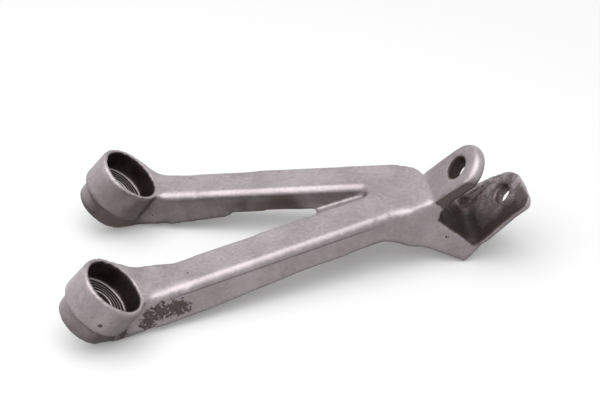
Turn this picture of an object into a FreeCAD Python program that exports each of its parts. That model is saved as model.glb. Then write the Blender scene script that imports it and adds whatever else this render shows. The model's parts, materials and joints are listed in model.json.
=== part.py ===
import FreeCAD, Part
import math
import os
import Sketcher

# Motorcycle footrest hanger: one aluminium casting. Two bosses bolt to the subframe,
# two arms run from them to a forked end, and the fork takes the folding footrest.
# In the body's own frame the frame bolts stand along Z on the plane Z = 0, with the
# near boss at the origin and the far boss along Y. The placement lays it down at rest.
# "Along" and "across" below are measured in the sloping plane of the arms' top faces:
# along it from its start beside the bosses, and square to it, up positive.

SIZES = {
    # bosses
    "boss_spacing": 72.5,
    "boss_height": 20.5,
    "boss_radius": 12.7,
    "boss_flare": 0.5,
    "spigot_radius": 10.8,
    "spigot_height": 7.7,
    "counterbore_radius": 11.0,
    "counterbore_depth": 9.0,
    "bolt_radius": 4.5,
    # plane of the arms and their thickness
    "arm_slope": 46.7,
    "top_start": 11.6,
    "top_height": 19.7,
    "root_reach": 16.0,
    "root_depth": 14.0,
    "arm_depth": 11.5,
    "thinning_start": 20.0,
    "thinning_end": 57.0,
    "foot_gap": 1.2,
    # edges of the two arms, each a straight line in the plane of the arms
    "far_front": 68.5,
    "far_front_angle": 6.7,
    "far_back": 85.5,
    "far_back_angle": 6.95,
    "near_front": 1.2,
    "near_front_angle": 22.1,
    "near_back": 22.5,
    "near_back_angle": 20.9,
    "gusset_side": 24.6,
    "gusset_start": 6.0,
    "gusset_end": 8.0,
    "inner_start": 9.8,
    # sweeps at the level of the rims, from each boss out to its arm's back edge
    "sweep_radius": 43.6,
    "sweep_start": 111.7,
    "sweep_turn": 28.0,
    "sweep_end": 8.0,
    "near_sweep_side": 24.6,
    "far_sweep_side": 85.7,
    "far_sweep_fall": 2.5,
    "sweep_side": 6.35,
    # solid end below the fork
    "body_end": 98.8,
    "shoulder_along": 92.8,
    "neck_x": 79.2,
    "neck_side": 38.9,
    "block_x": 85.0,
    "block_near": 43.3,
    "corner_x": 77.0,
    "corner_y": 71.7,
    "corner_swell": 1.0,
    "block_far": 66.0,
    "neck_tilt": 38.0,
    "heel_start": 87.0,
    "heel_depth": 27.6,
    # ramp of the web between the arms
    "web_start": 55.0,
    "web_end": 84.5,
    "web_drop": 2.6,
    "web_middle": 54.3,
    "web_width": 24.6,
    # relief under the far arm
    "relief_start": 24.0,
    "relief_end": 62.0,
    "relief_ramp": 5.0,
    "relief_depth": 9.8,
    "relief_middle": 75.5,
    "relief_width": 36.2,
    # fork: centre of the pin hole on the outer face of the thick ear
    "pin_x": 83.9,
    "pin_y": 49.3,
    "pin_z": 111.5,
    "fork_turn": 10.6,
    "groove_run": 2.3,
    "groove_depth": 20.1,
    "crease_depth": 14.3,
    "slot_width": 17.6,
    "slot_depth": 18.5,
    "thick_ear": 5.8,
    "thick_ear_radius": 9.8,
    "thick_ear_centre": -0.7,
    "thick_ear_rise": 0.3,
    "thick_ear_tip_start": 176.0,
    "thick_ear_tip_end": 30.0,
    "thick_ear_foot_far": 12.1,
    "thick_ear_foot_near": 6.9,
    "thick_ear_foot_step": 2.0,
    "thick_ear_foot_slant": 3.0,
    "thick_ear_waist": 10.5,
    "thick_ear_hole": 4.4,
    "thin_ear": 4.5,
    "thin_ear_radius": 10.3,
    "thin_ear_drop": 1.0,
    "thin_ear_tip_start": 95.0,
    "thin_ear_tip_end": -5.0,
    "thin_ear_foot_far": 12.4,
    "thin_ear_foot_near": 12.8,
    "thin_ear_foot_in": 11.4,
    "thin_ear_foot_step": 3.0,
    "thin_ear_waist": 14.0,
    "tab_reach": 15.4,
    "tab_height": 10.9,
    "tab_corner_low": 4.0,
    "tab_corner_mid": 1.6,
    "tab_corner_in": 1.0,
    "tab_corner_top": 3.0,
    "ear_sink": 3.0,
    "thin_ear_hole": 3.75,
    "heel_side": 7.8,
    "heel_clearance": 2.0,
    # roundings
    "edge_chamfer": 1.8,
    "apex_round": 3.3,
    "root_round": 2.0,
    "heel_round": 2.5,
    "slot_round": 3.0,
    "crease_round": 1.0,
    "ear_edge": 0.8,
    "thin_ear_bevel": 3.2,
    "thin_ear_taper": 40.0,
    # how far the cutting profiles run past the metal, at least and at most
    "overcut": 1.0,
    "cut_reach": 150.0,
}

Z_AXIS = FreeCAD.Vector(0, 0, 1)
DOWN_Y = FreeCAD.Vector(0, -1, 0)
Y_AXIS = FreeCAD.Vector(0, 1, 0)


def write_sheet(doc):
    sheet = doc.addObject("Spreadsheet::Sheet", "Sizes")
    for row, (name, value) in enumerate(SIZES.items(), start=1):
        sheet.set(f"A{row}", name)
        sheet.set(f"B{row}", str(value))
        sheet.setAlias(f"B{row}", name)
    doc.recompute()


def origin_plane(body, role):
    return next(item for item in body.Origin.OriginFeatures if item.Role == role)


def sketch_on(body, name, role, base=("0", "0", "0"), axis=Z_AXIS, angle="0"):
    """Sketch on an origin plane of the body, moved and turned by the sheet."""
    sketch = body.newObject("Sketcher::SketchObject", name)
    sketch.AttachmentSupport = [(origin_plane(body, role), "")]
    sketch.MapMode = "FlatFace"
    sketch.AttachmentOffset = FreeCAD.Placement(FreeCAD.Vector(), FreeCAD.Rotation(axis, 1))
    for letter, text in zip("xyz", base):
        sketch.setExpression(f".AttachmentOffset.Base.{letter}", f"({sized(text)}) * 1 mm")
    turn = f"({sized(angle)}) * 1 deg"
    sketch.setExpression(".AttachmentOffset.Rotation.Angle", turn)
    return sketch


def sized(text):
    """The same expression with each size name pointed at the sheet."""
    words = "".join(c if c.isalnum() or c == "_" else " " for c in text).split()
    for word in sorted(set(words) & set(SIZES), key=len, reverse=True):
        parts = text.replace("Sizes." + word, "\0").split(word)
        joined = parts[0]
        for before, after in zip(parts, parts[1:]):
            inside = before[-1:].isalnum() or before[-1:] in ("_", ".")
            inside = inside or after[:1].isalnum() or after[:1] == "_"
            joined += (word if inside else "Sizes." + word) + after
        text = joined.replace("\0", "Sizes." + word)
    return text


def number(sketch, text):
    value = sketch.evalExpression(sized(text))
    return float(getattr(value, "Value", value))


def hold(sketch, geometry, position, x, y):
    """Keeps one point of a sketch at two expressions of the sheet."""
    for kind, text in (("DistanceX", x), ("DistanceY", y)):
        rule = Sketcher.Constraint(kind, -1, 1, geometry, position, number(sketch, text))
        index = sketch.addConstraint(rule)
        sketch.setExpression(f"Constraints[{index}]", f"({sized(text)}) * 1 mm")


def polygon(sketch, corners):
    """Closed outline of straight sides with every corner held by the sheet."""
    points = [FreeCAD.Vector(number(sketch, x), number(sketch, y), 0) for x, y in corners]
    first = sketch.GeometryCount
    count = len(points)
    for i, start in enumerate(points):
        sketch.addGeometry(Part.LineSegment(start, points[(i + 1) % count]), False)
    for i in range(count):
        after = first + (i + 1) % count
        sketch.addConstraint(Sketcher.Constraint("Coincident", first + i, 2, after, 1))
    for i, (x, y) in enumerate(corners):
        hold(sketch, first + i, 1, x, y)


def circle(sketch, x, y, radius):
    centre = FreeCAD.Vector(number(sketch, x), number(sketch, y), 0)
    index = sketch.addGeometry(Part.Circle(centre, Z_AXIS, number(sketch, radius)), False)
    hold(sketch, index, 3, x, y)
    rule = sketch.addConstraint(Sketcher.Constraint("Radius", index, number(sketch, radius)))
    sketch.setExpression(f"Constraints[{rule}]", f"{sized(radius)} * 1 mm")


def lobe(sketch, before, radius, x, y, start, end, after):
    """Closed outline of straight sides before and after one arc, held by the sheet."""
    tip = [
        (f"{x} + {radius} * cos({start})", f"{y} + {radius} * sin({start})"),
        (f"{x} + {radius} * cos({end})", f"{y} + {radius} * sin({end})"),
    ]
    corners = before + tip + after
    points = [FreeCAD.Vector(number(sketch, a), number(sketch, b), 0) for a, b in corners]
    turn = len(before)
    count = len(points)
    centre = FreeCAD.Vector(number(sketch, x), number(sketch, y), 0)
    for i, point in enumerate(points):
        following = points[(i + 1) % count]
        if i == turn:
            whole = Part.Circle(centre, Z_AXIS, number(sketch, radius))
            angles = sorted(math.radians(number(sketch, angle)) for angle in (end, start))
            arc = Part.ArcOfCircle(whole, *angles)
            sketch.addGeometry(arc, False)
        else:
            sketch.addGeometry(Part.LineSegment(point, following), False)
    first, last = (2, 1) if number(sketch, start) > number(sketch, end) else (1, 2)
    for i in range(count):
        after_i = (i + 1) % count
        end_point = last if i == turn else 2
        start_point = first if after_i == turn else 1
        rule = Sketcher.Constraint("Coincident", i, end_point, after_i, start_point)
        sketch.addConstraint(rule)
    for i, (a, b) in enumerate(corners):
        hold(sketch, i, first if i == turn else 1, a, b)
    rule = sketch.addConstraint(Sketcher.Constraint("Radius", turn, number(sketch, radius)))
    sketch.setExpression(f"Constraints[{rule}]", f"{sized(radius)} * 1 mm")


def feature(body, kind, name, sketch, length, reverse=False, midplane=False):
    """Pad or pocket of a sketch, with its length set by the sheet."""
    made = body.newObject(f"PartDesign::{kind}", name)
    made.Profile = sketch
    made.Reversed = reverse
    if midplane:
        made.SideType = "Symmetric"
    made.setExpression("Length", f"({sized(length)}) * 1 mm")
    return made


def in_arms_plane(along, across="0"):
    """X and Z of a point given along and across the plane of the arms."""
    x = f"top_start + ({along}) * cos(arm_slope) - ({across}) * sin(arm_slope)"
    z = f"top_height + ({along}) * sin(arm_slope) + ({across}) * cos(arm_slope)"
    return x, z


def line_side(side, angle, along, sign):
    """Distance from the near boss of an arm's edge at one place along it."""
    return f"{side} {sign} ({along}) * tan({angle})"


def plan_sketch(body):
    """Outline of both arms and the block below the fork, seen square to the arms."""
    sketch = sketch_on(
        body, "plan", "XY_Plane", ("top_start", "0", "top_height"),
        DOWN_Y, "arm_slope",
    )
    half = "(near_back_angle + far_front_angle) / 2"
    turn = "(near_back_angle - far_front_angle) / 2"
    apex = "(far_front - near_back) / (tan(near_back_angle) + tan(far_front_angle))"
    apex_side = line_side("near_back", "near_back_angle", apex, "+")
    back = f"apex_round / sin({half})"
    before = [
        ("0 - root_reach", "inner_start"),
        ("0 - root_reach", line_side("near_front", "near_front_angle", "0 - root_reach", "+")),
        ("shoulder_along", "neck_side"),
        ("cut_reach", "neck_side"),
        ("cut_reach", line_side("far_back", "far_back_angle", "cut_reach", "-")),
        ("0 - root_reach", line_side("far_back", "far_back_angle", "0 - root_reach", "-")),
        ("0 - root_reach", line_side("far_front", "far_front_angle", "0 - root_reach", "-")),
    ]
    after = [("gusset_end", "gusset_side"), ("0 - gusset_start", "gusset_side")]
    middle = (f"{apex} - {back} * cos({turn})", f"{apex_side} - {back} * sin({turn})")
    ends = ("90 - far_front_angle", "near_back_angle - 90")
    lobe(sketch, before, "apex_round", *middle, *ends, after)
    return sketch


def side_sketch(body):
    """Everything outside the arms' side view: a frame around the kept profile."""
    sketch = sketch_on(body, "side_view", "XZ_Plane")
    polygon(sketch, [
        ("0 - cut_reach", "0 - cut_reach"),
        ("2 * cut_reach", "0 - cut_reach"),
        ("2 * cut_reach", "2 * cut_reach"),
        ("0 - cut_reach", "2 * cut_reach"),
    ])
    end_x = in_arms_plane("body_end")[0]
    foot = "(foot_gap - top_height + root_depth * cos(arm_slope)) / sin(arm_slope)"
    foot_x = in_arms_plane(foot, "0 - root_depth")[0]
    heel_x = "pin_x + 2 * (thick_ear + slot_width + thin_ear)"
    under_x, under_z = in_arms_plane("heel_start", "0 - arm_depth")
    heel_run = "(thick_ear + slot_width + thin_ear) * cos(fork_turn)"
    rise = f"((pin_z - heel_depth) - ({under_z})) / (pin_x + {heel_run} - ({under_x}))"
    polygon(sketch, [
        in_arms_plane("0 - root_reach"),
        in_arms_plane("body_end"),
        (end_x, "pin_z + 3 * thin_ear_radius"),
        (heel_x, "pin_z + 3 * thin_ear_radius"),
        (heel_x, f"{under_z} + ({rise}) * ({heel_x} - ({under_x}))"),
        (under_x, under_z),
        in_arms_plane("thinning_end", "0 - arm_depth"),
        in_arms_plane("thinning_start", "0 - root_depth"),
        (foot_x, "foot_gap"),
        ("spigot_radius - 2", "foot_gap"),
    ])
    return sketch


def fork_side_sketch(body):
    """What is cleared above and past the block, seen along the fork's slot."""
    sketch = sketch_on(
        body, "fork_side", "XZ_Plane", ("pin_x", "pin_z", "0 - pin_y"), Y_AXIS, "fork_turn"
    )
    outer = "thick_ear + slot_width + thin_ear"
    polygon(sketch, [
        ("0 - 2 * thin_ear_radius", "0 - groove_depth"),
        ("0 - groove_run", "0 - groove_depth"),
        ("0", "0 - crease_depth"),
        ("thick_ear", "0 - crease_depth"),
        ("thick_ear", "0 - slot_depth"),
        (outer, "0 - slot_depth"),
        (outer, "0 - cut_reach"),
        ("2 * cut_reach", "0 - cut_reach"),
        ("2 * cut_reach", "cut_reach"),
        ("0 - 2 * thin_ear_radius", "cut_reach"),
    ])
    return sketch


def ear_sketch(body, name, start):
    """Sketch square to the pin, centred on it, at a distance from the thick ear's face."""
    base = (
        f"pin_y + ({start}) * sin(fork_turn)",
        "pin_z",
        f"pin_x + ({start}) * cos(fork_turn)",
    )
    return sketch_on(body, name, "YZ_Plane", base, Y_AXIS, "fork_turn")


def thick_ear_sketch(body):
    sketch = ear_sketch(body, "thick_ear_outline", "0")
    radius = "thick_ear_radius"
    tip = ("thick_ear_centre", "thick_ear_rise", "thick_ear_tip_start", "thick_ear_tip_end")
    foot = "0 - slot_depth - ear_sink"
    lobe(sketch, [
        ("thick_ear_foot_slant - thick_ear_foot_near", foot),
        ("0 - thick_ear_foot_near", "thick_ear_foot_step - crease_depth"),
    ], radius, *tip, [
        ("thick_ear_waist", "0 - crease_depth / 2"),
        ("thick_ear_foot_far", "0 - crease_depth"),
        ("thick_ear_foot_far", foot),
    ])
    return sketch


def thin_ear_sketch(body, name, start):
    sketch = ear_sketch(body, name, start)
    tip = ("0", "0 - thin_ear_drop", "thin_ear_tip_start", "thin_ear_tip_end")
    lobe(sketch, [
        ("0 - heel_side", "heel_clearance - heel_depth"),
        ("0 - thin_ear_foot_near", "thin_ear_foot_step - slot_depth"),
        ("0 - thin_ear_waist", "0"),
        ("0 - tab_reach", "tab_height - tab_corner_low"),
        ("tab_corner_in - tab_reach", "tab_height - tab_corner_mid"),
        ("tab_corner_top - tab_reach", "tab_height"),
    ], "thin_ear_radius", *tip, [
        ("thin_ear_foot_far", "0 - slot_depth / 2"),
        ("thin_ear_foot_in", "0 - slot_depth"),
        ("thin_ear_foot_in", "heel_clearance - heel_depth"),
    ])
    return sketch


def add_thin_ear(doc, body):
    """The thin ear: a flat inner part and a back that slopes in all round."""
    inner = "thick_ear + slot_width"
    sketch = thin_ear_sketch(body, "thin_ear_outline", inner)
    feature(body, "Pad", "thin_ear_front", sketch, "thin_ear - thin_ear_bevel")
    sketch = thin_ear_sketch(body, "thin_ear_back_outline", f"{inner} + thin_ear - thin_ear_bevel")
    back = feature(body, "Pad", "thin_ear_back", sketch, "thin_ear_bevel")
    back.setExpression("TaperAngle", "-Sizes.thin_ear_taper * 1 deg")
    doc.recompute()


def boss_sketch(body):
    """Half of one boss beside its axis: a spigot below and a wider head above."""
    sketch = sketch_on(body, "boss_profile", "XZ_Plane")
    polygon(sketch, [
        ("0", "0"),
        ("0", "2 * boss_height"),
        ("0 - boss_radius", "2 * boss_height"),
        ("0 - boss_radius - boss_flare", "spigot_height"),
        ("0 - spigot_radius", "spigot_height"),
        ("0 - spigot_radius", "0"),
    ])
    return sketch


def add_sweeps(doc, body):
    """Metal between each boss and its arm's back edge, as high as the tall bosses."""
    sketch = sketch_on(body, "near_sweep", "XY_Plane", ("0", "0", "spigot_height"))
    end_x = in_arms_plane("sweep_end")[0]
    far = "(boss_radius + sweep_radius)"
    lobe(sketch, [("0", "0")], "sweep_radius", f"{far} * cos(sweep_start)",
         f"{far} * sin(sweep_start)", "sweep_start - 180", "sweep_start - 180 + sweep_turn", [
        (end_x, "near_sweep_side"),
        (end_x, "sweep_side"),
    ])
    feature(body, "Pad", "near_sweep_pad", sketch, "2 * boss_height - spigot_height")
    doc.recompute()
    sketch = sketch_on(body, "far_sweep", "XY_Plane", ("0", "0", "spigot_height"))
    lip_x = "top_start + (boss_height - top_height) / tan(arm_slope)"
    polygon(sketch, [
        ("0", "boss_spacing"),
        ("0", "boss_spacing + boss_radius"),
        (lip_x, "far_sweep_side"),
        (end_x, "far_sweep_side - far_sweep_fall"),
        (end_x, "boss_spacing + sweep_side"),
    ])
    feature(body, "Pad", "far_sweep_pad", sketch, "2 * boss_height - spigot_height")
    doc.recompute()


def add_bosses(doc, body):
    """Both bosses, taller than they end up, blended into the arms."""
    sketch = boss_sketch(body)
    boss = body.newObject("PartDesign::Revolution", "near_boss")
    boss.Profile = sketch
    boss.ReferenceAxis = (sketch, ["V_Axis"])
    boss.Angle = 360
    doc.recompute()
    both = body.newObject("PartDesign::LinearPattern", "both_bosses")
    both.Originals = [boss]
    both.Direction = (origin_plane(body, "Y_Axis"), [""])
    both.Occurrences = 2
    both.setExpression("Length", "Sizes.boss_spacing * 1 mm")
    body.Tip = both
    doc.recompute()
    dress(doc, body, "Fillet", "root_rounding", "root_round", is_boss_root)


def face_bosses(doc, body):
    """Faces the bosses and sweeps off level, down to the arms' top faces."""
    sketch = sketch_on(body, "facing_profile", "XZ_Plane")
    lip_x = "top_start + (boss_height - top_height) / tan(arm_slope)"
    end_x, end_z = in_arms_plane("boss_radius")
    polygon(sketch, [
        ("0 - 2 * boss_radius", "boss_height"),
        (lip_x, "boss_height"),
        (end_x, end_z),
        (end_x, "3 * boss_height"),
        ("0 - 2 * boss_radius", "3 * boss_height"),
    ])
    feature(body, "Pocket", "faced_bosses", sketch, "3 * cut_reach", midplane=True)
    doc.recompute()


def add_web(doc, body):
    """Ramp that closes the corner between the arms and thins out to nothing."""
    sketch = sketch_on(body, "web_ramp", "XZ_Plane", ("0", "0", "0 - web_middle"))
    polygon(sketch, [
        in_arms_plane("web_start", "0 - arm_depth"),
        in_arms_plane("web_end", "0 - web_drop"),
        in_arms_plane("body_end", "0 - web_drop"),
        in_arms_plane("body_end", "0 - arm_depth"),
    ])
    feature(body, "Pad", "web", sketch, "web_width", midplane=True)
    doc.recompute()


def cut_relief(doc, body):
    """Shallow relief under the far arm, with a sloping end beside its root."""
    sketch = sketch_on(body, "relief_profile", "XZ_Plane", ("0", "0", "0 - relief_middle"))
    polygon(sketch, [
        in_arms_plane("relief_start", "0 - root_depth - overcut"),
        in_arms_plane("relief_start + relief_ramp", "0 - relief_depth"),
        in_arms_plane("relief_end", "0 - relief_depth"),
        in_arms_plane("relief_end + relief_ramp", "0 - root_depth - overcut"),
    ])
    feature(body, "Pocket", "far_arm_relief", sketch, "relief_width", midplane=True)
    doc.recompute()


def cut_bolt_holes(doc, body):
    """Counterbore and through hole in each boss, cut from the head downwards."""
    for name, radius, length in (
        ("counterbore", "counterbore_radius", "counterbore_depth"),
        ("bolt_hole", "bolt_radius", "2 * boss_height"),
    ):
        sketch = sketch_on(body, f"{name}_circles", "XY_Plane", ("0", "0", "boss_height"))
        circle(sketch, "0", "0", radius)
        circle(sketch, "0", "boss_spacing", radius)
        feature(body, "Pocket", name, sketch, length)
        doc.recompute()


def cut_pin_holes(doc, body):
    """Pin hole of each ear; the one in the thick ear is wider."""
    for name, radius, start, length in (
        ("thick_ear_hole_cut", "thick_ear_hole", "0", "thick_ear + slot_width / 2"),
        ("thin_ear_hole_cut", "thin_ear_hole", "thick_ear + slot_width / 2", "2 * slot_width"),
    ):
        sketch = ear_sketch(body, f"{name}_circle", start)
        circle(sketch, "0", "0", radius)
        feature(body, "Pocket", name, sketch, length, reverse=True)
        doc.recompute()


def edges_where(shape, test):
    """Names of the edges whose middle point and ends pass a test."""
    names = []
    for index, edge in enumerate(shape.Edges, start=1):
        middle = edge.valueAt((edge.FirstParameter + edge.LastParameter) / 2)
        ends = [vertex.Point for vertex in edge.Vertexes]
        if test(middle, ends, edge):
            names.append(f"Edge{index}")
    return names


def dress(doc, body, kind, name, size, test):
    """Fillet or chamfer of the edges that pass a test on the body so far."""
    base = body.Tip
    names = edges_where(base.Shape, test)
    if not names:
        raise RuntimeError(f"no edge found for {name}")
    made = body.newObject(f"PartDesign::{kind}", name)
    made.Base = (base, names)
    rule = "Radius" if kind == "Fillet" else "Size"
    made.setExpression(rule, f"Sizes.{size} * 1 mm")
    body.Tip = made
    doc.recompute()
    if "Invalid" in made.State or made.Shape.isNull() or not made.Shape.isValid():
        raise RuntimeError(f"{name} did not compute")


def arm_place(point):
    """Distances of a point along and across the plane of the arms."""
    slope = math.radians(SIZES["arm_slope"])
    x = point.x - SIZES["top_start"]
    z = point.z - SIZES["top_height"]
    along = x * math.cos(slope) + z * math.sin(slope)
    across = z * math.cos(slope) - x * math.sin(slope)
    return along, across


def trim_block(doc, body):
    """Sides of the block below the fork, which run straight up like the bosses."""
    sketch = sketch_on(
        body, "block_near_side", "XY_Plane", ("neck_x", "0", "pin_z - groove_depth"),
        DOWN_Y, "neck_tilt",
    )
    polygon(sketch, [
        ("0", "neck_side"),
        ("(block_x - neck_x) / cos(neck_tilt)", "block_near"),
        ("cut_reach", "block_near"),
        ("cut_reach", "0 - cut_reach"),
        ("0", "0 - cut_reach"),
    ])
    feature(body, "Pocket", "near_side_cut", sketch, "4 * cut_reach", midplane=True)
    sketch = sketch_on(body, "block_far_side", "XY_Plane")
    polygon(sketch, [
        ("corner_x", "cut_reach"),
        ("corner_x", "corner_y"),
        ("corner_x + 2 * (corner_y - block_far) / 3", "(corner_y + block_far) / 2 + corner_swell"),
        ("corner_x + corner_y - block_far", "block_far"),
        ("cut_reach", "block_far"),
        ("cut_reach", "cut_reach"),
    ])
    feature(body, "Pocket", "far_side_cut", sketch, "4 * cut_reach", midplane=True)
    sketch = ear_sketch(body, "ledge_end", "0 - 2 * thin_ear_radius")
    polygon(sketch, [
        ("thick_ear_foot_far", "0 - groove_depth"),
        ("cut_reach", "0 - groove_depth"),
        ("cut_reach", "cut_reach"),
        ("thick_ear_foot_far", "cut_reach"),
    ])
    feature(body, "Pocket", "ledge_cut", sketch, "cut_reach", reverse=True)
    doc.recompute()
    sketch = sketch_on(
        body, "corner_bevel", "XY_Plane", ("pin_x", "pin_y", "0"), Z_AXIS, "fork_turn"
    )
    outer = "thick_ear + slot_width + thin_ear"
    polygon(sketch, [
        (f"{outer} - thin_ear_bevel", "0 - tab_reach - overcut"),
        (f"{outer} + overcut", "0 - tab_reach - overcut"),
        (f"{outer} + overcut", "overcut / 2 - heel_side"),
        (outer, "0 - heel_side"),
    ])
    feature(body, "Pocket", "outer_corner", sketch, "4 * cut_reach", midplane=True)
    doc.recompute()


def is_top_edge(middle, ends, edge):
    places = [arm_place(p) for p in ends + [middle]]
    if any(abs(across) > 0.01 for along, across in places):
        return False
    low = min(along for along, across in places)
    high = max(along for along, across in places)
    return high < SIZES["body_end"] + 0.1 and high - low > 4 and middle.x > 2


def fork_place(point):
    """Distances along the pin, across it away from the near side, and upwards."""
    turn = math.radians(SIZES["fork_turn"])
    x = point.x - SIZES["pin_x"]
    y = point.y - SIZES["pin_y"]
    along = x * math.cos(turn) + y * math.sin(turn)
    across = y * math.cos(turn) - x * math.sin(turn)
    return along, across, point.z - SIZES["pin_z"]


def boss_distance(point):
    near = math.hypot(point.x, point.y)
    far = math.hypot(point.x, point.y - SIZES["boss_spacing"])
    return min(near, far)


def is_boss_root(middle, ends, edge):
    points = ends + [middle]
    reach = SIZES["boss_radius"] + SIZES["boss_flare"] + 0.01
    on_wall = all(SIZES["boss_radius"] - 0.5 < boss_distance(p) < reach for p in points)
    above = all(p.z > SIZES["spigot_height"] + 0.01 for p in points)
    low = middle.z < SIZES["top_height"] + SIZES["spigot_height"]
    return on_wall and above and low and middle.x > 0


def is_slot_root(middle, ends, edge):
    at = fork_place(middle)
    inner = (SIZES["thick_ear"], SIZES["thick_ear"] + SIZES["slot_width"])
    across_slot = min(abs(at[0] - along) for along in inner) < 0.1
    return across_slot and abs(at[2] + SIZES["slot_depth"]) < 0.1 and edge.Length > 10


def is_crease(middle, ends, edge):
    at = fork_place(middle)
    here = abs(at[0]) < 0.1 and abs(at[2] + SIZES["crease_depth"]) < 0.1
    return here and edge.Length > 8


def is_heel(middle, ends, edge):
    outer = SIZES["thick_ear"] + SIZES["slot_width"] + SIZES["thin_ear"]
    places = [fork_place(point) for point in ends + [middle]]
    low = all(up < 3 - SIZES["heel_depth"] for along, across, up in places)
    return low and abs(places[-1][0] - outer) < 0.1 and edge.Length > 8


def is_inner_ear_edge(middle, ends, edge):
    at = fork_place(middle)
    inner = SIZES["thick_ear"] + SIZES["slot_width"]
    flat = all(abs(fork_place(p)[0] - inner) < 0.01 for p in ends + [middle])
    return flat and at[2] > 2 - SIZES["slot_depth"] and edge.Length > 2


def make_body(doc):
    body = doc.addObject("PartDesign::Body", "footrest_hanger")
    body.Label = "footrest_hanger"
    feature(body, "Pad", "arms", plan_sketch(body), "2 * cut_reach", midplane=True)
    feature(body, "Pocket", "trim_sides", side_sketch(body), "3 * cut_reach", midplane=True)
    doc.recompute()
    dress(doc, body, "Chamfer", "top_chamfer", "edge_chamfer", is_top_edge)
    sketch = fork_side_sketch(body)
    feature(body, "Pocket", "clear_fork", sketch, "3 * cut_reach", midplane=True)
    doc.recompute()
    trim_block(doc, body)
    dress(doc, body, "Fillet", "heel_rounding", "heel_round", is_heel)
    feature(body, "Pad", "thick_ear_pad", thick_ear_sketch(body), "thick_ear")
    doc.recompute()
    add_thin_ear(doc, body)
    dress(doc, body, "Fillet", "slot_rounding", "slot_round", is_slot_root)
    dress(doc, body, "Fillet", "crease_rounding", "crease_round", is_crease)
    dress(doc, body, "Fillet", "thin_ear_rounding", "ear_edge", is_inner_ear_edge)
    add_web(doc, body)
    cut_relief(doc, body)
    add_bosses(doc, body)
    add_sweeps(doc, body)
    face_bosses(doc, body)
    cut_bolt_holes(doc, body)
    cut_pin_holes(doc, body)
    return body


def lay_down(body):
    """Turns the part about Y until the feet of both arms and the heel touch the ground."""
    turn = math.radians(SIZES["fork_turn"])
    slope = math.radians(SIZES["arm_slope"])
    outer = SIZES["thick_ear"] + SIZES["slot_width"] + SIZES["thin_ear"]
    heel_x = SIZES["pin_x"] + outer * math.cos(turn) + SIZES["heel_side"] * math.sin(turn)
    heel_z = SIZES["pin_z"] - SIZES["heel_depth"] + SIZES["heel_round"] / 4
    foot_drop = SIZES["top_height"] - SIZES["foot_gap"]
    along = (SIZES["root_depth"] * math.cos(slope) - foot_drop) / math.sin(slope)
    foot_x = SIZES["top_start"] + along * math.cos(slope)
    foot_x += SIZES["root_depth"] * math.sin(slope)
    lean = math.degrees(math.atan2(heel_z - SIZES["foot_gap"], heel_x - foot_x))
    rotation = FreeCAD.Rotation(Y_AXIS, lean)
    body.Placement = FreeCAD.Placement(FreeCAD.Vector(), rotation)
    box = body.Shape.optimalBoundingBox()
    shift = FreeCAD.Vector(-box.Center.x, -box.Center.y, -box.ZMin)
    body.Placement = FreeCAD.Placement(shift, rotation)


def main():
    os.makedirs("parts", exist_ok=True)
    doc = FreeCAD.newDocument("footrest_hanger")
    write_sheet(doc)
    body = make_body(doc)
    doc.recompute()
    lay_down(body)
    doc.recompute()
    for item in doc.Objects:
        if {"Invalid", "Error"} & set(item.State):
            raise RuntimeError(f"{item.Name} did not compute: {item.State}")
    shape = body.Shape
    if shape.isNull() or not shape.isValid() or len(shape.Solids) != 1:
        raise RuntimeError("the casting is not one valid solid")
    shape.exportStep("parts/footrest_hanger.step")


main()
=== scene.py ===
import json
import math

import bmesh
import bpy
from bpy.props import FloatProperty, FloatVectorProperty, IntProperty, PointerProperty
from mathutils import Matrix, Vector


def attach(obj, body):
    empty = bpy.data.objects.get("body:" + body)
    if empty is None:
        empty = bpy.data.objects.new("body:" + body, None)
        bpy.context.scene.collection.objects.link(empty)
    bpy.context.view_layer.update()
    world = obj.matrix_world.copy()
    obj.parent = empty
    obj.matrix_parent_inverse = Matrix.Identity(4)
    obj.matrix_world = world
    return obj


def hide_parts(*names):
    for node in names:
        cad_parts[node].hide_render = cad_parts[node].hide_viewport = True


bl_info = {
    "name": "Motorcycle Footrest Hanger",
    "version": (1, 0, 0),
    "blender": (4, 5, 0),
    "location": "View3D > Sidebar > Footrest Hanger",
    "description": "Finishes a cast aluminium footrest hanger and sets it on a studio floor",
    "category": "Object",
}

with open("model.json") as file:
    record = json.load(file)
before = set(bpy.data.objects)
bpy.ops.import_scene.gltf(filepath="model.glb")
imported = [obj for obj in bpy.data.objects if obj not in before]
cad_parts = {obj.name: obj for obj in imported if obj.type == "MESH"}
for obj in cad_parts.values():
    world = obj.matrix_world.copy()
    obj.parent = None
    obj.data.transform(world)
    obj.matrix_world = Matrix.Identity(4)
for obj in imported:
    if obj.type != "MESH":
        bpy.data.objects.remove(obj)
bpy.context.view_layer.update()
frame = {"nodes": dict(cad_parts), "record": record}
NODE = "footrest_hanger"

# The casting's own axes. The bolt axis leans from the vertical as the part rests.
MOUNTS = {mount["name"]: mount for mount in frame["record"]["mounts"]}
BOLT_AXIS = Vector(MOUNTS["near_bolt_hole"]["axis"]).normalized()
PIN_AXIS = -Vector(MOUNTS["thick_ear_pin_hole"]["axis"]).normalized()
ACROSS = BOLT_AXIS.cross(PIN_AXIS)
SIDEWAYS = Vector((0.0, 1.0, 0.0))
ALONG = SIDEWAYS.cross(BOLT_AXIS)
LEAN = math.atan2(BOLT_AXIS.x, BOLT_AXIS.z)
NEAR_SEAT = Vector(MOUNTS["near_frame_seat"]["pos_m"])


def foot_of_axis(name):
    """Point of a round mount's axis at the level of the frame seats."""
    centre = Vector(MOUNTS[name]["pos_m"])
    return centre - BOLT_AXIS * (centre - NEAR_SEAT).dot(BOLT_AXIS)


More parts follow.
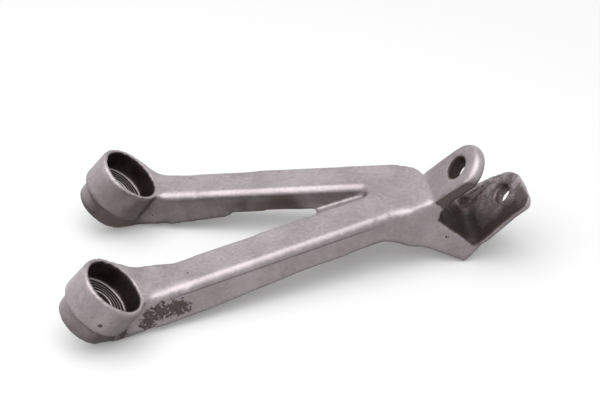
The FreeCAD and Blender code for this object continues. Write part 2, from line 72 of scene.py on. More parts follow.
# Sizes in millimetres, from the part's mounts.
NEAR_BOSS = foot_of_axis("near_bolt_hole")
BOSS_SPACING = (foot_of_axis("far_bolt_hole") - NEAR_BOSS).y * 1000
BOLT_RADIUS = MOUNTS["near_bolt_hole"]["dims"]["r_mm"]
RECESS_RADIUS = MOUNTS["near_counterbore"]["dims"]["r_mm"]
SEAT_HEIGHT = MOUNTS["near_bolt_hole"]["dims"]["length_mm"]
BOSS_HEIGHT = SEAT_HEIGHT + MOUNTS["near_counterbore"]["dims"]["length_mm"]
THICK_EAR = MOUNTS["thick_ear_pin_hole"]["dims"]["length_mm"]
THIN_EAR = MOUNTS["thin_ear_pin_hole"]["dims"]["length_mm"]
THICK_EAR_HOLE = MOUNTS["thick_ear_pin_hole"]["dims"]["r_mm"]
THIN_EAR_HOLE = MOUNTS["thin_ear_pin_hole"]["dims"]["r_mm"]
PIN_START = Vector(MOUNTS["thick_ear_pin_hole"]["pos_m"]) - PIN_AXIS * THICK_EAR / 2000
THIN_EAR_FACE = (
    (Vector(MOUNTS["thin_ear_pin_hole"]["pos_m"]) - PIN_START).dot(PIN_AXIS) * 1000 - THIN_EAR / 2
)

# The plane of the arms' top faces, as in the part's source: its slope, and the place along the
# casting and the height in millimetres where it starts.
ARM_SLOPE = math.radians(46.7)
TOP_START = 11.6
TOP_HEIGHT = 19.7


def in_body(x, y, z):
    """Point given in millimetres from the near boss's seat, along the casting's own axes."""
    return NEAR_BOSS + (ALONG * x + SIDEWAYS * y + BOLT_AXIS * z) / 1000


def in_arms(along, y, depth):
    """Point given in millimetres along the arms' top plane, sideways and below it."""
    return in_body(
        TOP_START + along * math.cos(ARM_SLOPE) + depth * math.sin(ARM_SLOPE),
        y,
        TOP_HEIGHT + along * math.sin(ARM_SLOPE) - depth * math.cos(ARM_SLOPE),
    )


def in_fork(pin, across, up):
    """Point given in millimetres along the pin from the thick ear's face, across it and up."""
    return PIN_START + (PIN_AXIS * pin + ACROSS * across + BOLT_AXIS * up) / 1000


def body_place(point):
    """The millimetres that in_body would be given for a point."""
    from_seat = (point - NEAR_BOSS) * 1000
    return from_seat.dot(ALONG), from_seat.y, from_seat.dot(BOLT_AXIS)


def arms_place(point):
    """The millimetres that in_arms would be given for a point."""
    x, y, z = body_place(point)
    x, z = x - TOP_START, z - TOP_HEIGHT
    slope = (math.cos(ARM_SLOPE), math.sin(ARM_SLOPE))
    return x * slope[0] + z * slope[1], y, x * slope[1] - z * slope[0]


def fork_place(point):
    """The millimetres that in_fork would be given for a point."""
    from_pin = (point - PIN_START) * 1000
    return from_pin.dot(PIN_AXIS), from_pin.dot(ACROSS), from_pin.dot(BOLT_AXIS)


def linear(colour):
    """Linear colour of a hex sRGB value."""
    channels = [int(colour[i:i + 2], 16) / 255 for i in (1, 3, 5)]
    return tuple(c / 12.92 if c <= 0.04045 else ((c + 0.055) / 1.055) ** 2.4 for c in channels)


class CastingSettings(bpy.types.PropertyGroup):
    grain: FloatProperty(
        name="Skin grain",
        description="Edge length of the casting's skin mesh",
        default=0.00063, min=0.0003, max=0.002, unit="LENGTH",
    )
    softening: IntProperty(
        name="Softening",
        description="How many times the cast corners are softened",
        default=5, min=0, max=30,
    )


class FinishSettings(bpy.types.PropertyGroup):
    cast_colour: FloatVectorProperty(
        name="Cast skin", description="Colour of the bead-blasted casting",
        subtype="COLOR", size=3, default=linear("#C3BABD"), min=0.0, max=1.0,
    )
    dull_colour: FloatVectorProperty(
        name="Dull skin", description="Colour where the casting has greyed",
        subtype="COLOR", size=3, default=linear("#A89FA2"), min=0.0, max=1.0,
    )
    # Painted shade: this colour darkens the sides, the faces that look down, the thick ear and the
    # spigots.
    painted_shade_colour: FloatVectorProperty(
        name="Soil", description="Colour of the thin road film on the sides",
        subtype="COLOR", size=3, default=linear("#544B4A"), min=0.0, max=1.0,
    )
    bore_colour: FloatVectorProperty(
        name="Bore walls", description="Colour of the stained, turned walls of the bolt recesses",
        subtype="COLOR", size=3, default=linear("#4A4041"), min=0.0, max=1.0,
    )
    stain_colour: FloatVectorProperty(
        name="Stain", description="Colour of the brown film round the grease",
        subtype="COLOR", size=3, default=linear("#5F5451"), min=0.0, max=1.0,
    )
    grime_colour: FloatVectorProperty(
        name="Grime", description="Colour of the old grease in the fork and the pin holes",
        subtype="COLOR", size=3, default=linear("#2C211F"), min=0.0, max=1.0,
    )
    residue_colour: FloatVectorProperty(
        name="Residue", description="Colour of the dark flaked residue and of the pits",
        subtype="COLOR", size=3, default=linear("#33231F"), min=0.0, max=1.0,
    )
    roughness: FloatProperty(
        name="Roughness", description="Roughness of the cast skin",
        subtype="FACTOR", default=0.44, min=0.0, max=1.0,
    )


class StageSettings(bpy.types.PropertyGroup):
    lens: FloatProperty(
        name="Lens", description="Focal length of the camera in millimetres",
        default=105.0, min=20.0, max=300.0, unit="CAMERA",
    )
    lamp_power: FloatProperty(
        name="Lamp power", description="Power of the large soft lamp above",
        default=7.2, min=0.0, max=100.0, unit="POWER",
    )


def add_node(tree, kind, inputs, output=0, **settings):
    """Adds one node with its settings, its inputs and the links into it."""
    node = tree.nodes.new(kind)
    for name, value in settings.items():
        setattr(node, name, value)
    for socket, value in inputs.items():
        if isinstance(value, bpy.types.NodeSocket):
            tree.links.new(value, node.inputs[socket])
        else:
            node.inputs[socket].default_value = value
    return node.outputs[output]


MATH = "ShaderNodeMath"
SPREAD = "ShaderNodeMapRange"
OVER = "ShaderNodeMix"

# Cloudy patterns of the casting's skin: width of a patch in millimetres, detail and roughness.
# Bead-blast grain is 0.1 to 0.2 mm wide; it is drawn 0.5 mm wide, so that it shows.
PATTERNS = {
    "clouds": (14.0, 4.0, 0.5),
    "flecks": (1.5, 3.0, 0.6),
    "smears": (8.0, 5.0, 0.65),
    "blots": (3.5, 4.0, 0.6),
    "specks": (0.9, 2.0, 0.5),
    "pits": (1.8, 1.0, 0.5),
    "grain": (0.5, 2.0, 0.5),
}

# What the mesh keeps for the material at each point. The first two and below_top are in
# millimetres, and the others run from 0 to 1.
READINGS = (
    "from_bolt", "above_seat", "recess", "seat", "painted_shade", "below_top", "near_side", "grease",
    "residue",
)

# Depth of the fine dark line below the near arm's top plane, and pitch of the turned rings on
# the recess's seat and up its wall, in millimetres.
LINE_DEPTH = 3.2
SEAT_PITCH = 1.25
WALL_PITCH = 0.6

# Heights of the relief in millimetres.
GRAIN_HEIGHT = 0.007
FLECK_HEIGHT = 0.01
FLAKE_HEIGHT = -0.08
RING_HEIGHT = 0.06


def cast_aluminium(finish):
    """Sand cast aluminium, bead blasted and used. To the eye that is a pale satin skin with a
    fine grain, turned and stained bolt recesses, and brown old grease in the fork."""
    material = bpy.data.materials.new("cast_aluminium_bead_blasted")
    material.use_nodes = True
    tree = material.node_tree
    shader = tree.nodes["Principled BSDF"]
    place = add_node(tree, "ShaderNodeTexCoord", {}, "Object")
    cloudy = {}
    for name, (width, detail, rough) in PATTERNS.items():
        cloudy[name] = add_node(tree, "ShaderNodeTexNoise", {
            "Vector": place, "Scale": 1000 / width, "Detail": detail, "Roughness": rough,
        }, "Fac")
    read = {}
    for name in READINGS:
        read[name] = add_node(tree, "ShaderNodeAttribute", {}, "Fac", attribute_name=name)
    cast, dull, painted_shade, bore, stain, grime, residue = (
        (*colour, 1.0) for colour in (
            finish.cast_colour, finish.dull_colour, finish.painted_shade_colour, finish.bore_colour,
            finish.stain_colour, finish.grime_colour, finish.residue_colour,
        )
    )

    # The blasted skin has greyed in clouds with flecks in them.
    clouds = add_node(tree, MATH, {0: cloudy["clouds"], 1: 0.6}, operation="MULTIPLY")
    clouds = add_node(tree, MATH, {0: cloudy["flecks"], 1: 0.55, 2: clouds},
                      operation="MULTIPLY_ADD")
    pale = add_node(tree, SPREAD, {"Value": clouds, "From Min": 0.38, "From Max": 0.74},
                    interpolation_type="SMOOTHSTEP")
    skin = add_node(tree, OVER, {"Factor": pale, "A": dull, "B": cast}, "Result",
                    data_type="RGBA")

    # Painted shade darkens the sides and the faces that look down, in uneven smears.
    smears = add_node(tree, SPREAD, {
        "Value": cloudy["smears"], "From Min": 0.3, "From Max": 0.7,
        "To Min": 0.85, "To Max": 1.05,
    }, interpolation_type="SMOOTHSTEP")
    film = add_node(tree, MATH, {0: read["painted_shade"], 1: smears}, operation="MULTIPLY",
                    use_clamp=True)

    # A fine dark line runs below the chamfer of the near arm.
    line = add_node(tree, MATH, {0: read["below_top"], 1: LINE_DEPTH}, operation="SUBTRACT")
    line = add_node(tree, MATH, {0: line}, operation="ABSOLUTE")
    line = add_node(tree, SPREAD, {
        "Value": line, "From Min": 0.5, "From Max": 0.1, "To Max": 0.5,
    }, interpolation_type="SMOOTHSTEP")
    line = add_node(tree, MATH, {0: line, 1: read["near_side"]}, operation="MULTIPLY")

    # The recesses are turned: bright rings on the stained seat, and faint ones up the wall.
    seat_turns = add_node(tree, MATH, {0: read["from_bolt"], 1: math.tau / SEAT_PITCH},
                          operation="MULTIPLY")
    seat_turns = add_node(tree, MATH, {0: seat_turns}, operation="SINE")
    wall_turns = add_node(tree, MATH, {0: read["above_seat"], 1: math.tau / WALL_PITCH},
                          operation="MULTIPLY")
    wall_turns = add_node(tree, MATH, {0: wall_turns}, operation="SINE")
    stained = add_node(tree, SPREAD, {
        "Value": cloudy["smears"], "From Min": 0.3, "From Max": 0.7,
    }, interpolation_type="SMOOTHSTEP")
    wall = add_node(tree, OVER, {"Factor": stained, "A": grime, "B": bore}, "Result",
                    data_type="RGBA")
    rings = add_node(tree, SPREAD, {"Value": seat_turns, "From Min": -0.2, "From Max": 0.9},
                     interpolation_type="SMOOTHSTEP")
    rings = add_node(tree, MATH, {0: read["seat"], 1: rings}, operation="MULTIPLY")

    # Old grease lies in blots, broken by specks, with a thin brown film round it.
    blots = add_node(tree, MATH, {0: cloudy["blots"], 1: 0.9}, operation="MULTIPLY")
    blots = add_node(tree, MATH, {0: cloudy["specks"], 1: 0.35, 2: blots},
                     operation="MULTIPLY_ADD")
    blots = add_node(tree, MATH, {0: read["grease"], 1: blots}, operation="ADD")
    brown = add_node(tree, SPREAD, {
        "Value": blots, "From Min": 0.72, "From Max": 1.1, "To Max": 0.85,
    }, interpolation_type="SMOOTHSTEP")
    greased = add_node(tree, SPREAD, {"Value": blots, "From Min": 1.12, "From Max": 1.5},
                       interpolation_type="SMOOTHSTEP")

    # Dark residue in ragged flakes, and pits everywhere but in the recesses.
    ragged = add_node(tree, MATH, {0: cloudy["flecks"], 1: 2.0}, operation="MULTIPLY")
    ragged = add_node(tree, MATH, {0: cloudy["specks"], 1: 0.8, 2: ragged},
                      operation="MULTIPLY_ADD")
    ragged = add_node(tree, MATH, {0: read["residue"], 1: ragged}, operation="ADD")
    flaked = add_node(tree, SPREAD, {
        "Value": ragged, "From Min": 2.0, "From Max": 2.16, "To Max": 0.9,
    }, interpolation_type="SMOOTHSTEP")
    pitted = add_node(tree, SPREAD, {
        "Value": cloudy["pits"], "From Min": 0.77, "From Max": 0.81, "To Max": 0.8,
    }, interpolation_type="SMOOTHSTEP")
    outside = add_node(tree, MATH, {0: 1.0, 1: read["recess"]}, operation="SUBTRACT")
    pitted = add_node(tree, MATH, {0: pitted, 1: outside}, operation="MULTIPLY")
    flaked = add_node(tree, MATH, {0: flaked, 1: pitted}, operation="MAXIMUM")

    # Each layer covers the ones before it: where it lies, and its colour.
    for share, colour in (
        (film, painted_shade), (line, grime), (read["recess"], wall), (rings, cast), (brown, stain),
        (greased, grime), (flaked, residue),
    ):
        skin = add_node(tree, OVER, {"Factor": share, "A": skin, "B": colour}, "Result",
                        data_type="RGBA")

    # Grease and residue hide the metal and are duller than it.
    covered = add_node(tree, MATH, {0: greased, 1: flaked}, operation="MAXIMUM")
    metallic = add_node(tree, MATH, {0: covered, 1: -0.85, 2: 0.85}, operation="MULTIPLY_ADD")
    satin = add_node(tree, MATH, {0: cloudy["flecks"], 1: 0.22, 2: finish.roughness - 0.11},
                     operation="MULTIPLY_ADD")
    satin = add_node(tree, MATH, {0: covered, 1: 0.12, 2: satin}, operation="MULTIPLY_ADD")

    height = add_node(tree, MATH, {0: cloudy["flecks"], 1: FLECK_HEIGHT}, operation="MULTIPLY")
    height = add_node(tree, MATH, {0: cloudy["grain"], 1: GRAIN_HEIGHT, 2: height},
                      operation="MULTIPLY_ADD")
    height = add_node(tree, MATH, {0: flaked, 1: FLAKE_HEIGHT, 2: height},
                      operation="MULTIPLY_ADD")
    faint = add_node(tree, MATH, {0: wall_turns, 1: 0.4}, operation="MULTIPLY")
    faint = add_node(tree, MATH, {0: read["recess"], 1: faint}, operation="MULTIPLY")
    turned = add_node(tree, MATH, {0: read["seat"], 1: seat_turns, 2: faint},
                      operation="MULTIPLY_ADD")
    height = add_node(tree, MATH, {0: turned, 1: RING_HEIGHT, 2: height},
                      operation="MULTIPLY_ADD")
    relief = add_node(tree, "ShaderNodeBump", {
        "Height": height, "Strength": 1.0, "Distance": 0.001,
    }, "Normal")

    for socket, value in (
        ("Base Color", skin), ("Metallic", metallic), ("Roughness", satin), ("Normal", relief),
    ):
        tree.links.new(value, shader.inputs[socket])
    return material


# Metal that the sand mould leaves where two forms meet, each the hull of a few points.
MOULD_FILLS = {
    "block_top_up_to_thick_ear": [
        in_arms(98.0, 39.9, 0.15), in_arms(98.0, 70.6, 0.15), in_arms(101.0, 69.2, 0.3),
        in_arms(103.7, 65.6, 0.5), in_fork(2.5, 12.0, -17.6), in_fork(2.5, 6.0, -16.0),
        in_arms(107.0, 43.5, 0.3), in_arms(98.0, 40.4, 7.0), in_arms(98.0, 70.0, 7.0),
        in_arms(105.0, 64.0, 7.0), in_arms(108.0, 44.0, 7.0),
    ],
    "thin_ear_root": [
        in_fork(23.4, 9.1, 3.2), in_fork(26.6, 8.8, 3.2), in_fork(23.4, 11.8, -2.2),
        in_fork(26.4, 11.2, -2.5), in_fork(23.4, 13.9, -9.0), in_fork(26.4, 13.4, -9.0),
        in_fork(23.2, 15.8, -19.0), in_fork(26.6, 15.0, -19.0),
        in_fork(18.0, 15.0, -22.0), in_fork(26.6, 14.0, -25.0), in_fork(18.0, 9.0, -24.0),
        in_fork(27.0, 9.0, -24.0),
    ],
    "slot_far_edge": [
        in_fork(6.0, 13.0, -19.0), in_fork(6.0, 15.4, -18.9), in_fork(23.0, 15.0, -18.9),
        in_fork(23.0, 11.0, -19.0), in_fork(6.0, 13.0, -24.0), in_fork(6.0, 15.4, -23.0),
        in_fork(23.0, 14.6, -24.0), in_fork(23.0, 11.0, -24.0),
    ],
    "near_foot": [
        in_body(4.0, -9.0, 0.5), in_body(9.0, -7.0, 0.4), in_body(12.4, -2.6, 0.9),
        in_body(15.0, -1.0, 3.1), in_body(12.4, 5.0, 0.9), in_body(4.0, 5.0, 0.5),
        in_body(4.0, -9.0, 7.0), in_body(12.0, -3.0, 9.0), in_body(15.0, 0.0, 8.0),
        in_body(12.6, 5.0, 8.0),
    ],
    "far_foot": [
        in_body(4.0, 63.0, 0.5), in_body(9.0, 65.0, 0.4), in_body(12.4, 68.5, 0.9),
        in_body(15.2, 70.6, 3.1), in_body(12.4, 77.0, 0.9), in_body(4.0, 77.0, 0.5),
        in_body(4.0, 63.0, 7.0), in_body(12.0, 68.0, 9.0), in_body(15.0, 71.0, 8.0),
        in_body(12.6, 77.0, 8.0),
    ],
}

# Depth of the far arm's underside below its top face, at places along it, in millimetres.
FAR_UNDERSIDE = (
    (-14.0, 30.0), (-4.0, 14.6), (15.0, 12.7), (25.0, 11.5), (32.0, 10.5), (38.0, 9.8),
    (44.0, 9.3), (51.0, 9.4), (55.5, 9.9), (57.7, 11.2), (60.0, 30.0),
)

# The casting is turned while its skin is meshed, so that no long edge runs along the voxels.
ASKEW = (
    Matrix.Rotation(0.54, 4, "X") @ Matrix.Rotation(0.43, 4, "Y") @ Matrix.Rotation(0.61, 4, "Z")
)

# Shape of the thick ear's bullnose, in millimetres across the pin and up from it.
NOSE_CENTRE = (-0.7, 0.3)
NOSE_RADIUS = 9.8
NOSE_SQUARENESS = 2.3

# The thick ear's near edge lies this far across and up from the pin, and faces this way.
NEAR_EDGE = (-10.5, 1.0)
NEAR_EDGE_FACING = (-0.965, -0.261)
NEAR_EDGE_ROUNDING = 2.2


def between(table, place):
    """Value of a table of pairs at a place between two of them."""
    for (start, low), (end, high) in zip(table, table[1:]):
        if start <= place <= end:
            return low + (high - low) * (place - start) / (end - start)
    return None


def ramp(value, start, end):
    """0 before start and 1 past end, eased between them; end may be below start."""
    share = min(1.0, max(0.0, (value - start) / (end - start)))
    return share * share * (3 - 2 * share)


def round_nose(pin, across, up):
    """The cast tip of the thick ear is a bullnose."""
    out = math.hypot(across - NOSE_CENTRE[0], up - NOSE_CENTRE[1])
    turn = math.degrees(math.atan2(up - NOSE_CENTRE[1], across - NOSE_CENTRE[0]))
    share = ramp(turn, 5, 30) * ramp(turn, 182, 165) if turn > 0 else 0.0
    half = THICK_EAR / 2
    nose = (out - NOSE_RADIUS + half, pin - half)
    if not share or nose[0] <= 0.2:
        return pin, across, up
    size = abs(nose[0] / (half + 0.75)) ** NOSE_SQUARENESS + abs(nose[1] / half) ** NOSE_SQUARENESS
    size **= 1 / NOSE_SQUARENESS
    if size <= 0.6:
        return pin, across, up
    scale = 1 + share * ((NOSE_RADIUS - half + nose[0] / size) / out - 1)
    return (
        pin + share * (half + nose[1] / size - pin),
        NOSE_CENTRE[0] + (across - NOSE_CENTRE[0]) * scale,
        NOSE_CENTRE[1] + (up - NOSE_CENTRE[1]) * scale,
    )


def round_near_edge(pin, across, up):
    """Lower down, the thick ear's edge towards the slot is rounded."""
    outward = NEAR_EDGE_FACING[0] * (across - NEAR_EDGE[0])
    outward += NEAR_EDGE_FACING[1] * (up - NEAR_EDGE[1])
    share = ramp(up, 4.0, 0.0) * ramp(up, -12.5, -9.0)
    edge = (pin - THICK_EAR + NEAR_EDGE_ROUNDING, outward + NEAR_EDGE_ROUNDING)
    size = math.hypot(*edge) / NEAR_EDGE_ROUNDING
    if not share or min(edge) <= 0 or max(edge) <= 1.4 or size <= 1:
        return pin, across, up
    move = share * (edge[1] / size - edge[1])
    return (
        pin + share * (edge[0] / size - edge[0]),
        across + NEAR_EDGE_FACING[0] * move,
        up + NEAR_EDGE_FACING[1] * move,
    )


def round_thick_ear(point):
    """The thick ear has a bullnose tip and a rounded edge below it."""
    pin, across, up = fork_place(point)
    if not -1.5 < pin < THICK_EAR + 1.5 or up < -13.0 or abs(across) > 13.0:
        return point
    return in_fork(*round_near_edge(*round_nose(pin, across, up)))


def fill_thin_ear(point):
    """The thin ear's upper edge is fuller between its tip and its corner."""
    pin, across, up = fork_place(point)
    if pin < THIN_EAR_FACE - 0.8 or up < 3.0:
        return point
    swell = 0.85 * ramp(across, -11.5, -4.0) * ramp(across, 7.5, -1.5) * ramp(up, 3.0, 8.0)
    return in_fork(pin, across, up + swell)


def true_pin_hole(point):
    """The skin is drawn back to the drilled pin holes, which old grease narrows inwards."""
    pin, across, up = fork_place(point)
    out = math.hypot(across, up)
    for start, length, radius, grease in (
        (0.0, THICK_EAR, THICK_EAR_HOLE, 0.75),
        (THIN_EAR_FACE, THIN_EAR, THIN_EAR_HOLE, 0.8),
    ):
        deep = pin - start
        if 0.35 < deep < length - 0.1 and abs(out - radius) < 1.0:
            target = radius - grease * deep / length
            return in_fork(pin, across * target / out, up * target / out)
    return point


def lift_underside(point):
    """The underside of the far arm rises in one long curve to the web."""
    along, y, depth = arms_place(point)
    limit = between(FAR_UNDERSIDE, along)
    if limit is None or depth <= limit or y < 48.0:
        return point
    return in_arms(along, y, limit + 0.03 * (depth - limit))


def on_block_top(body, arms, fork):
    """The block's top, up to the thick ear."""
    return -13 < fork[0] < 1.0 and -27 < fork[2] < -13.7 and fork[1] < 19


def on_block_side(body, arms, fork):
    """The block's near side, below the fork."""
    return 70 < body[0] < 96 and body[1] < 49 and fork[2] < -14.5 and arms[2] < 30


def on_arm_start(body, arms, fork):
    """The upper half of each arm where it leaves its boss."""
    from_boss = min(math.hypot(body[0], body[1] - y) for y in (0.0, BOSS_SPACING))
    return 2 < body[0] < 24 and body[2] > 9 and from_boss > 13.4


def on_foot(body, arms, fork):
    """The underside of each spigot and foot."""
    return body[2] < 2.6 and body[0] < 20


def on_arm_root(body, arms, fork):
    """The lower half of each arm where it leaves its foot."""
    return 8 < body[0] < 24 and -1 < body[2] < 9 and arms[2] > 8


def on_sweep_end(body, arms, fork):
    """Where each arm's curved start runs out into its straight edge."""
    from_near_edge = abs(body[1] - 22.5 - 0.382 * arms[0])
    from_far_edge = abs(body[1] - 85.5 + 0.122 * arms[0])
    return 18 < body[0] < 40 and arms[2] < 8 and min(from_near_edge, from_far_edge) < 3.5


def on_slot_root(body, arms, fork):
    """The slot's floor where the thin ear stands on it."""
    return 14 < fork[0] < 24.4 and -20 < fork[2] < -13.5 and -10 < fork[1] < 11


# Where the mould's corners are softer than elsewhere, and how many times they are softened.
SOFT_PLACES = (
    (on_block_top, 26), (on_block_side, 22), (on_arm_start, 30), (on_foot, 14),
    (on_arm_root, 24), (on_sweep_end, 26), (on_slot_root, 20),
)


def skin_mesh(casting, context, size):
    """New mesh of the object's skin, which joins what overlaps."""
    casting.data.transform(ASKEW)
    skin = casting.modifiers.new("skin", "REMESH")
    skin.mode = "VOXEL"
    skin.voxel_size = size
    graph = context.evaluated_depsgraph_get()
    mesh = bpy.data.meshes.new_from_object(casting.evaluated_get(graph))
    casting.modifiers.clear()
    mesh.transform(ASKEW.inverted())
    return mesh


def soften(work, verts, passes):
    """Smooths some points of a mesh a number of times."""
    for _ in range(passes):
        bmesh.ops.smooth_vert(
            work, verts=verts, factor=0.5, use_axis_x=True, use_axis_y=True, use_axis_z=True,
        )


# Dark residue on the casting: where it lies in millimetres from the near boss's seat, and how
# far it reaches. Residue that reaches less than SOLID_REACH is a solid speck.
RESIDUE = (
    ((20.5, 3.4, 19.0), 4.6), ((24.5, 5.6, 22.5), 4.4), ((19.0, 1.6, 13.5), 3.6),
    ((17.5, 1.4, 16.5), 2.6), ((27.0, 6.2, 23.5), 3.4), ((11.5, -6.0, 8.0), 2.6),
    ((14.0, -2.8, 6.5), 2.4), ((1.2, -13.2, 11.6), 0.8), ((-6.0, 62.5, 1.8), 1.1),
    ((-4.0, 62.0, 2.6), 0.9), ((99.0, 43.3, 88.6), 0.55), ((99.7, 43.5, 89.0), 0.5),
    ((-3.0, -12.9, 12.6), 0.4), ((20.9, 78.8, 29.5), 0.4), ((22.7, 15.5, 31.4), 0.4),
)
SOLID_REACH = 2.0


def residue_at(point):
    """Most in the middle of each place of residue."""
    most = 0.0
    for place, reach in RESIDUE:
        away = (point - in_body(*place)).length * 1000 / reach
        weight = 1.0 if reach > SOLID_REACH else 1.4
        most = max(most, weight * (1.0 - 0.5 * away ** 2))
    return most


def painted_shade_at(vert):
    """Painted shade: most on the far arm's side, less on the near side, more on faces that look
    down, and none on the top faces.
    """
    along, y, depth = arms_place(vert.co)
    sides = ramp(vert.normal.z, 0.75, 0.15)
    film = 0.5 * sides + 0.4 * ramp(vert.normal.z, 0.1, -0.6)
    # Painted shade on the far arm's front side, deeper further along and lower down.
    if y > 48.0 and vert.normal.y < 0:
        shade = 0.28 + 0.3 * ramp(along, 20.0, 45.0) * ramp(depth, 2.0, 6.0)
        film += sides * ramp(along, 62.0, 50.0) * shade
    pin, across, up = fork_place(vert.co)
    # Painted shade on the thick ear's outer face, and more on its near edge low down.
    if -0.8 < pin < THICK_EAR and up > -14.0 and abs(across) < 13.0:
        film += 0.22 * ramp(vert.normal.dot(PIN_AXIS), -0.7, -0.95)
        film += 0.7 * ramp(vert.normal.dot(ACROSS), -0.6, -0.85) * ramp(up, 6.0, 1.0)
    return film


def grease_at(point):
    """Most on the slot's floor, down the thin ear's near edge and in the pin holes."""
    pin, across, up = fork_place(point)
    out = math.hypot(across, up)
    if -0.5 < pin < THICK_EAR + 0.3 and out < THICK_EAR_HOLE + 0.9:
        return ramp(out, THICK_EAR_HOLE + 0.75, THICK_EAR_HOLE + 0.1)
    if THIN_EAR_FACE - 0.3 < pin < THIN_EAR_FACE + THIN_EAR and out < THIN_EAR_HOLE + 0.2:
        return 0.45
    if not THICK_EAR - 0.4 < pin < THIN_EAR_FACE + 0.7 or up < -20.5:
        return 0.0
    if pin < THICK_EAR + 0.6 and up > -15.0:
        return 0.3 * ramp(pin, THICK_EAR - 0.4, THICK_EAR + 0.3)
    in_slot = ramp(pin, THIN_EAR_FACE + 0.9, THIN_EAR_FACE + 0.2)
    in_slot *= ramp(pin, THICK_EAR - 0.4, THICK_EAR + 1.2) * ramp(up, -20.0, -18.9)
    near_edge = 0.5 * ramp(across, -4.0, -12.5)
    low_down = 0.3 * ramp(up, 2.0, -15.0) * ramp(across, 12.0, -4.0)
    ring = 0.3 * ramp(out, THIN_EAR_HOLE + 2.6, THIN_EAR_HOLE + 0.4)
    corner = 0.3 * ramp(math.hypot(across + 11.0, up), 7.0, 2.0)
    floor = 0.35 * ramp(up, -12.0, -15.5)
    return in_slot * min(1.0, 0.27 + near_edge + low_down + ring + corner + floor)


def readings_at(vert):
    """What the material needs to know at one point, in the order of READINGS."""
    x, y, z = body_place(vert.co)
    along, _, below_top = arms_place(vert.co)
    from_bolt = min(math.hypot(x, y), math.hypot(x, y - BOSS_SPACING))
    above_seat = z - SEAT_HEIGHT
    recess = seat = near_side = 0.0
    if above_seat > -0.6 or from_bolt < BOLT_RADIUS + 0.7:
        recess = ramp(from_bolt, RECESS_RADIUS + 0.5, RECESS_RADIUS + 0.15)
    if above_seat > -1.2 and from_bolt < RECESS_RADIUS:
        seat = ramp(above_seat, 0.8, 0.2)
        seat *= ramp(from_bolt, RECESS_RADIUS - 0.1, RECESS_RADIUS - 0.5)
    painted_shade = painted_shade_at(vert)
    # Painted shade on each spigot, below the boss's wall.
    if from_bolt < 12.5:
        painted_shade += 0.3 * ramp(above_seat, -3.0, -5.4)
    if y < 4.0 + 0.41 * along:
        near_side = ramp(along, 4.0, 16.0) * ramp(along, 92.0, 76.0)
        near_side *= ramp(vert.normal.y, -0.6, -0.8)
    return (
        from_bolt, above_seat, recess, seat, painted_shade, below_top, near_side, grease_at(vert.co),
        residue_at(vert.co),
    )


class HANGER_OT_casting(bpy.types.Operator):
    """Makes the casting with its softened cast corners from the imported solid"""
    bl_idname = "hanger.casting"
    bl_label = "Make Casting"

    def execute(self, context):
        settings = context.scene.hanger_casting
        mesh = frame["nodes"][NODE].data.copy()
        mesh.name = "casting"
        casting = bpy.data.objects.new("casting", mesh)
        context.scene.collection.objects.link(casting)
        work = bmesh.new()
        work.from_mesh(mesh)
        bmesh.ops.remove_doubles(work, verts=work.verts, dist=1e-6)
        for points in MOULD_FILLS.values():
            bmesh.ops.convex_hull(work, input=[work.verts.new(point) for point in points])
        work.to_mesh(mesh)
        work.free()
        casting.data = mesh = skin_mesh(casting, context, settings.grain)
        for vert in mesh.vertices:
            vert.co = round_thick_ear(fill_thin_ear(lift_underside(vert.co)))
        casting.data = skin = skin_mesh(casting, context, settings.grain)
        work = bmesh.new()
        work.from_mesh(skin)
        soften(work, work.verts, settings.softening)
        places = [(v, body_place(v.co), arms_place(v.co), fork_place(v.co)) for v in work.verts]
        for is_soft, passes in SOFT_PLACES:
            soften(work, [v for v, *place in places if is_soft(*place)], passes)
        for vert in work.verts:
            vert.co = true_pin_hole(vert.co)
        soften(work, work.verts, 1)
        for face in work.faces:
            face.smooth = True
        work.to_mesh(skin)
        work.free()
        readings = [readings_at(vert) for vert in skin.vertices]
        for name, values in zip(READINGS, zip(*readings)):
            skin.attributes.new(name, "FLOAT", "POINT").data.foreach_set("value", values)
        skin.materials.clear()
        skin.materials.append(cast_aluminium(context.scene.hanger_finish))
        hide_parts(NODE)
        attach(casting, "root")
        return {"FINISHED"}


# The floor lies 0.05 mm below the casting's feet. Its glow, which only the camera and
# reflections see, makes it white.
FLOOR_SIZE = 6.0
FLOOR_LEVEL = -0.00005
FLOOR_GLOW = 0.2

# The air lights matt surfaces less than the camera and reflections see it.
AIR_LIGHT = 0.4
AIR_SEEN = 1.0

LAMP_PLACE = Vector((-0.15, -0.22, 0.88))
LAMP_SIZE = 1.15

# The photograph's camera has no roll. It is set from the near boss's rim, as if the casting
# leaned by PHOTO_LEAN, and looks down by CAMERA_FALL.
PHOTO_LEAN = math.radians(39.0)
CAMERA_FALL = math.radians(33.8)
CAMERA_FROM_RIM = Vector((0.0649, -0.4943, 0.3672))


def seen_or_reflected(tree):
    """1 for what the camera or a reflection sees, and 0 for what lights a matt surface."""
    rays = [
        add_node(tree, "ShaderNodeLightPath", {}, name)
        for name in ("Is Camera Ray", "Is Glossy Ray")
    ]
    return add_node(tree, MATH, dict(enumerate(rays)), operation="MAXIMUM")


def studio_floor():
    """Pale matt board that is white to the eye and keeps the casting's shadow."""
    material = bpy.data.materials.new("matt_white_board")
    material.use_nodes = True
    tree = material.node_tree
    tree.nodes.remove(tree.nodes["Principled BSDF"])
    matt = add_node(tree, "ShaderNodeBsdfDiffuse", {"Color": (0.9, 0.9, 0.9, 1.0)})
    glow = add_node(tree, "ShaderNodeEmission", {
        "Color": (1.0, 1.0, 1.0, 1.0), "Strength": FLOOR_GLOW,
    })
    both = add_node(tree, "ShaderNodeAddShader", {0: matt, 1: glow})
    board = add_node(tree, "ShaderNodeMixShader", {
        "Fac": seen_or_reflected(tree), 1: matt, 2: both,
    })
    tree.links.new(board, tree.nodes["Material Output"].inputs["Surface"])
    return material


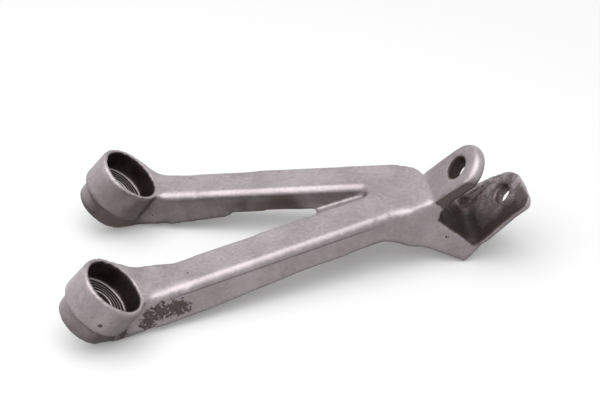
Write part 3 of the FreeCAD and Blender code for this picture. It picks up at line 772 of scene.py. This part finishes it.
def studio_air():
    """Even pale air round the floor."""
    world = bpy.data.worlds.new("studio_air")
    world.use_nodes = True
    tree = world.node_tree
    tree.nodes.remove(tree.nodes["Background"])
    air = add_node(tree, "ShaderNodeBackground", {
        "Color": (1.0, 1.0, 1.0, 1.0), "Strength": AIR_LIGHT,
    })
    seen = add_node(tree, "ShaderNodeBackground", {
        "Color": (0.8, 0.8, 0.8, 1.0), "Strength": AIR_SEEN,
    })
    both = add_node(tree, "ShaderNodeMixShader", {
        "Fac": seen_or_reflected(tree), 1: air, 2: seen,
    })
    tree.links.new(both, tree.nodes["World Output"].inputs["Surface"])
    return world


def top_lamp(power):
    """One large soft lamp above, which looks at the casting."""
    lamp = bpy.data.lights.new("top_lamp", "AREA")
    lamp.shape = "SQUARE"
    lamp.size = LAMP_SIZE
    lamp.energy = power
    holder = bpy.data.objects.new("top_lamp", lamp)
    holder.location = LAMP_PLACE
    holder.rotation_euler = (-LAMP_PLACE).to_track_quat("-Z", "Y").to_euler()
    return holder


def photo_camera(lens):
    """Camera at the photograph's viewing angle."""
    view = bpy.data.cameras.new("photo_camera")
    view.lens = lens
    view.sensor_width = 36.0
    view.clip_start = 0.01
    camera = bpy.data.objects.new("photo_camera", view)
    rim = in_body(0.0, 0.0, BOSS_HEIGHT)
    turn = Matrix.Rotation(LEAN - PHOTO_LEAN, 4, "Y")
    tilt = Matrix.Rotation(math.pi / 2 - CAMERA_FALL, 4, "X")
    stand = Matrix.Translation(rim) @ turn @ Matrix.Translation(CAMERA_FROM_RIM)
    camera.matrix_world = stand @ tilt
    return camera


class HANGER_OT_stage(bpy.types.Operator):
    """Sets the floor, the soft lamp and the camera at the photograph's viewing angle"""
    bl_idname = "hanger.stage"
    bl_label = "Make Stage"

    def execute(self, context):
        settings = context.scene.hanger_stage
        scene = context.scene
        bpy.ops.mesh.primitive_plane_add(size=FLOOR_SIZE, location=(0, 0, FLOOR_LEVEL))
        floor = context.object
        floor.name = "studio_floor"
        floor.data.materials.append(studio_floor())
        lamp = top_lamp(settings.lamp_power)
        camera = photo_camera(settings.lens)
        for item in (lamp, camera):
            scene.collection.objects.link(item)
        scene.world = studio_air()
        scene.view_settings.view_transform = "Standard"
        scene.camera = camera
        return {"FINISHED"}


class HANGER_PT_panel(bpy.types.Panel):
    """Lists the hanger's pieces and its stage"""
    bl_idname = "HANGER_PT_panel"
    bl_label = "Footrest Hanger"
    bl_space_type = "VIEW_3D"
    bl_region_type = "UI"
    bl_category = "Footrest Hanger"

    def draw(self, context):
        layout = self.layout
        scene = context.scene
        layout.operator("hanger.casting")
        for name in ("grain", "softening"):
            layout.prop(scene.hanger_casting, name)
        for name in (
            "cast_colour", "dull_colour", "painted_shade_colour", "bore_colour", "stain_colour",
            "grime_colour", "residue_colour", "roughness",
        ):
            layout.prop(scene.hanger_finish, name)
        layout.operator("hanger.stage")
        for name in ("lens", "lamp_power"):
            layout.prop(scene.hanger_stage, name)


CLASSES = (
    CastingSettings,
    FinishSettings,
    StageSettings,
    HANGER_OT_casting,
    HANGER_OT_stage,
    HANGER_PT_panel,
)


def register():
    for item in CLASSES:
        bpy.utils.register_class(item)
    bpy.types.Scene.hanger_casting = PointerProperty(type=CastingSettings)
    bpy.types.Scene.hanger_finish = PointerProperty(type=FinishSettings)
    bpy.types.Scene.hanger_stage = PointerProperty(type=StageSettings)


def unregister():
    del bpy.types.Scene.hanger_stage
    del bpy.types.Scene.hanger_finish
    del bpy.types.Scene.hanger_casting
    for item in reversed(CLASSES):
        bpy.utils.unregister_class(item)


def main():
    register()
    bpy.ops.hanger.casting()
    bpy.ops.hanger.stage()


if __name__ == "__main__":
    main()
